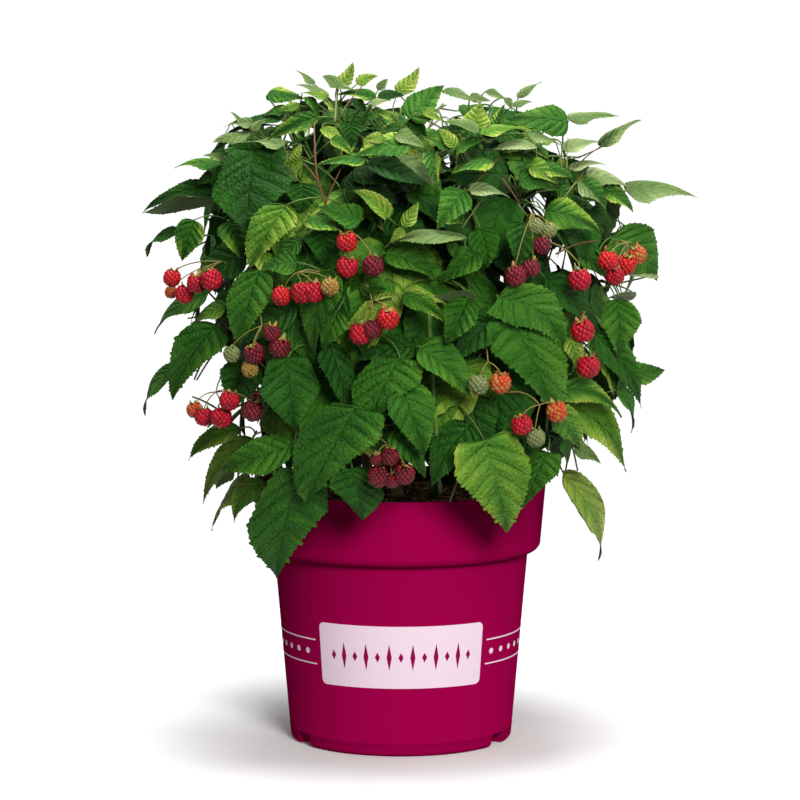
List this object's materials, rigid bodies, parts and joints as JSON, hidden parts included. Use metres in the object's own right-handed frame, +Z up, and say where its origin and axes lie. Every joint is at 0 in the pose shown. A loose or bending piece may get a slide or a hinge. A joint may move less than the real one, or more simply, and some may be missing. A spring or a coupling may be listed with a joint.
{
  "type": "raspberry plant in a pot",
  "caption": "Bushy fruiting raspberry plant with arching leafy canes and hanging berries, in a tapered plastic nursery pot with a deep collar.",
  "frame": {"origin": "centre of the pot's flat underside, at the level it stands on", "axes": "+Z up along the pot's axis, -Y towards the front, which carries the pale panel, +X to the right seen from the front"},
  "size_m": [0.508, 0.47, 0.6103],
  "materials": {
    "pot_plastic": "moulded magenta polypropylene, satin, with a thin bright rim",
    "potting_soil": "dark moist peat with straw and bark crumbs",
    "cane_bark": "green to brown cane bark, finely ribbed, matte",
    "shoot_bark": "young green bark, downy, matte",
    "foliage": "pleated toothed leaves, satin green above and pale grey-green beneath",
    "fruit": "ripe red drupelets with a soft gloss, some orange or green"
  },
  "bodies": {
    "root": {"pot": "pot_plastic", "soil": "potting_soil", "cane_1": "cane_bark", "cane_2": "cane_bark", "cane_3": "cane_bark", "cane_4": "cane_bark", "cane_5": "cane_bark", "cane_6": "cane_bark", "cane_7": "cane_bark", "shoot_middle_1": "shoot_bark", "shoot_middle_2": "shoot_bark", "shoot_middle_3": "shoot_bark", "shoot_middle_4": "shoot_bark", "shoot_middle_5": "shoot_bark", "shoot_middle_6": "shoot_bark", "shoot_middle_7": "shoot_bark", "shoot_middle_8": "shoot_bark", "shoot_skirt_1": "shoot_bark", "shoot_skirt_2": "shoot_bark", "shoot_skirt_3": "shoot_bark", "shoot_skirt_4": "shoot_bark", "shoot_skirt_5": "shoot_bark", "shoot_skirt_6": "shoot_bark", "shoot_skirt_7": "shoot_bark", "shoot_upper_1": "shoot_bark", "shoot_upper_2": "shoot_bark", "shoot_upper_3": "shoot_bark", "shoot_upper_4": "shoot_bark", "shoot_upper_5": "shoot_bark", "shoot_upper_6": "shoot_bark", "shoot_upper_7": "shoot_bark", "foliage_middle_1": "foliage", "foliage_middle_2": "foliage", "foliage_middle_3": "foliage", "foliage_middle_4": "foliage", "foliage_middle_5": "foliage", "foliage_middle_6": "foliage", "foliage_middle_7": "foliage", "foliage_middle_8": "foliage", "foliage_shoulder_1": "foliage", "foliage_shoulder_2": "foliage", "foliage_shoulder_3": "foliage", "foliage_shoulder_4": "foliage", "foliage_shoulder_5": "foliage", "foliage_shoulder_6": "foliage", "foliage_skirt_1": "foliage", "foliage_skirt_2": "foliage", "foliage_skirt_3": "foliage", "foliage_skirt_4": "foliage", "foliage_skirt_5": "foliage", "foliage_skirt_6": "foliage", "foliage_skirt_7": "foliage", "foliage_top_1": "foliage", "foliage_upper_1": "foliage", "foliage_upper_2": "foliage", "foliage_upper_3": "foliage", "foliage_upper_4": "foliage", "foliage_upper_5": "foliage", "foliage_upper_6": "foliage", "foliage_upper_7": "foliage"}
  },
  "joints": []
}
